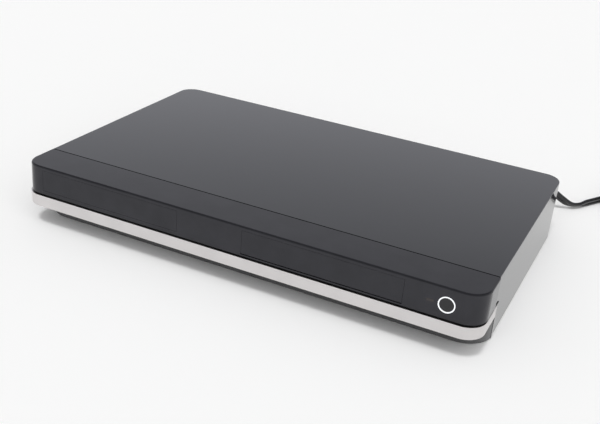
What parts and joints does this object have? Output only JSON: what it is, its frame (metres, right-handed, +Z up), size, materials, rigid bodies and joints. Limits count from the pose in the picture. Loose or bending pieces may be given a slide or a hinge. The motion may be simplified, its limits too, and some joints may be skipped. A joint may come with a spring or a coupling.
{
  "type": "disc recorder",
  "caption": "Flat full-width disc recorder with a gloss black cover, a silver band round its set-back base, a sliding disc tray, a drop-down flap and a coiled mains lead.",
  "frame": {"origin": "middle of the footprint, on the surface that the feet stand on", "axes": "+X along the width to the right as seen from the front, -Y towards the front, +Z up"},
  "size_m": [0.5625, 0.4358, 0.0592],
  "materials": {
    "cover_gloss": "gloss",
    "bezel_gloss": "gloss",
    "band_silver": "fine satin",
    "lower_black": "gloss",
    "chassis_steel": "zinc plated",
    "panel_black": "matte",
    "foot_rubber": "matte",
    "screw_metal": "bright",
    "ring_grey": "translucent satin",
    "button_gloss": "gloss",
    "lens_smoke": "gloss",
    "bay_black": "fine matte",
    "board_green": "satin",
    "socket_metal": "bright",
    "drive_grey": "matte",
    "drive_steel": "satin",
    "tray_black": "satin",
    "gear_white": "satin",
    "belt_black": "matte",
    "motor_metal": "satin",
    "rod_steel": "polished",
    "sled_metal": "cast",
    "lens_glass": "clear",
    "table_rubber": "satin",
    "hdd_metal": "cast",
    "sink_metal": "extruded",
    "tuner_metal": "tinned",
    "power_mix": "satin",
    "fan_black": "satin",
    "inlet_black": "satin",
    "socket_black": "satin",
    "cord_black": "satin",
    "plug_black": "satin"
  },
  "bodies": {
    "case": {"top_cover": "cover_gloss", "front_bezel": "bezel_gloss", "lower_bezel": "lower_black", "silver_band": "band_silver", "bottom_chassis": "chassis_steel", "rear_panel": "panel_black", "feet": "foot_rubber", "rear_screws": "screw_metal", "power_ring": "ring_grey", "status_lens": "lens_smoke", "flap_bay": "bay_black", "flap_catch": "bay_black", "front_board": "board_green", "usb_socket_front": "socket_metal", "card_reader": "socket_metal", "drive_base": "drive_grey", "drive_cover": "drive_steel", "clamp_bridge": "drive_steel", "tray_belt": "belt_black", "tray_motor": "motor_metal", "hard_drive": "hdd_metal", "hdd_bracket": "chassis_steel", "main_board": "board_green", "heat_sink": "sink_metal", "tuner_can": "tuner_metal", "aerial_sockets": "socket_metal", "hdmi_socket": "socket_metal", "lan_socket": "socket_black", "usb_socket_rear": "socket_metal", "power_board": "board_green", "power_parts": "power_mix", "fan_frame": "fan_black", "ac_inlet": "inlet_black", "cord_plug": "plug_black", "power_cord": "cord_black", "cord_coil": "cord_black", "mains_plug": "plug_black"},
    "tray": {"disc_tray": "tray_black", "tray_fascia": "bezel_gloss"},
    "flap": {"flap_door": "bezel_gloss"},
    "power_button": {"power_button": "button_gloss"},
    "bay_key_1": {"bay_key_1": "bay_black"},
    "bay_key_2": {"bay_key_2": "bay_black"},
    "bay_key_3": {"bay_key_3": "bay_black"},
    "bay_key_4": {"bay_key_4": "bay_black"},
    "tray_gear": {"tray_gear": "gear_white"},
    "pulley_gear": {"pulley_gear": "gear_white"},
    "motor_pulley": {"motor_pulley": "gear_white"},
    "cam_slider": {"cam_slider": "gear_white"},
    "traverse": {"traverse_frame": "drive_grey", "sled_rods": "rod_steel", "sled_motor": "motor_metal", "spindle_motor": "motor_metal"},
    "turntable": {"turntable": "table_rubber"},
    "sled": {"laser_sled": "sled_metal"},
    "lens": {"objective_lens": "lens_glass"},
    "feed_screw": {"sled_screw": "rod_steel"},
    "clamper": {"clamper": "tray_black"},
    "fan_rotor": {"fan_rotor": "fan_black"}
  },
  "joints": [
    {"name": "tray_slide", "type": "slide", "parent": "case", "child": "tray", "axis": [0, -1, 0], "range_m": [0, 0.14]},
    {"name": "tray_gear_spin", "type": "hinge", "parent": "case", "child": "tray_gear", "pos_m": [-0.073, -0.0975, 0.036], "axis": [0, 0, 1], "range_deg": [-731, 1]},
    {"name": "pulley_gear_spin", "type": "hinge", "parent": "case", "child": "pulley_gear", "pos_m": [-0.0922, -0.0975, 0.028], "axis": [0, 0, 1], "range_deg": [-1, 2190]},
    {"name": "motor_pulley_spin", "type": "hinge", "parent": "case", "child": "motor_pulley", "pos_m": [-0.14, -0.0975, 0.027], "axis": [0, 0, 1], "range_deg": [-1, 5472]},
    {"name": "flap_hinge", "type": "hinge", "parent": "case", "child": "flap", "pos_m": [0.08, -0.1371, 0.0356], "axis": [1, 0, 0], "range_deg": [0, 90]},
    {"name": "power_button_press", "type": "slide", "parent": "case", "child": "power_button", "axis": [0, 1, 0], "range_m": [0, 0.0006], "stiffness_N_per_m": 500, "springref_m": -0.0005},
    {"name": "bay_key_1_press", "type": "slide", "parent": "case", "child": "bay_key_1", "axis": [0, 1, 0], "range_m": [0, 0.0006], "stiffness_N_per_m": 400, "springref_m": -0.0005},
    {"name": "bay_key_2_press", "type": "slide", "parent": "case", "child": "bay_key_2", "axis": [0, 1, 0], "range_m": [0, 0.0006], "stiffness_N_per_m": 400, "springref_m": -0.0005},
    {"name": "bay_key_3_press", "type": "slide", "parent": "case", "child": "bay_key_3", "axis": [0, 1, 0], "range_m": [0, 0.0006], "stiffness_N_per_m": 400, "springref_m": -0.0005},
    {"name": "bay_key_4_press", "type": "slide", "parent": "case", "child": "bay_key_4", "axis": [0, 1, 0], "range_m": [0, 0.0006], "stiffness_N_per_m": 400, "springref_m": -0.0005},
    {"name": "traverse_tilt", "type": "hinge", "parent": "case", "child": "traverse", "pos_m": [-0.122, 0.0395, 0.026], "axis": [1, 0, 0], "range_deg": [0, 2.4]},
    {"name": "cam_slide", "type": "slide", "parent": "case", "child": "cam_slider", "axis": [-1, 0, 0], "range_m": [0, 0.0201]},
    {"name": "turntable_spin", "type": "hinge", "parent": "traverse", "child": "turntable", "pos_m": [-0.122, -0.0585, 0.043], "axis": [0, 0, 1], "continuous": true},
    {"name": "clamper_spin", "type": "hinge", "parent": "case", "child": "clamper", "pos_m": [-0.122, -0.0585, 0.049], "axis": [0, 0, 1], "continuous": true},
    {"name": "sled_slide", "type": "slide", "parent": "traverse", "child": "sled", "axis": [0, 1, 0], "range_m": [0, 0.034]},
    {"name": "feed_screw_spin", "type": "hinge", "parent": "traverse", "child": "feed_screw", "pos_m": [-0.086, -0.0285, 0.0326], "axis": [0, 1, 0], "range_deg": [-1, 4084]},
    {"name": "lens_focus", "type": "slide", "parent": "sled", "child": "lens", "axis": [0, 0, 1], "range_m": [-0.0004, 0.0004], "stiffness_N_per_m": 200},
    {"name": "fan_spin", "type": "hinge", "parent": "case", "child": "fan_rotor", "pos_m": [0.096, 0.121, 0.028], "axis": [0, 1, 0], "continuous": true}
  ],
  "couplings": [
    {"joint": "tray_gear_spin", "follows": "tray_slide", "rad_per_m": -90.909},
    {"joint": "pulley_gear_spin", "follows": "tray_slide", "rad_per_m": 272.73},
    {"joint": "motor_pulley_spin", "follows": "tray_slide", "rad_per_m": 681.82},
    {"joint": "cam_slide", "follows": "traverse_tilt", "m_per_rad": 0.47746},
    {"joint": "clamper_spin", "follows": "turntable_spin", "ratio": 1},
    {"joint": "feed_screw_spin", "follows": "sled_slide", "rad_per_m": 2094.4}
  ]
}
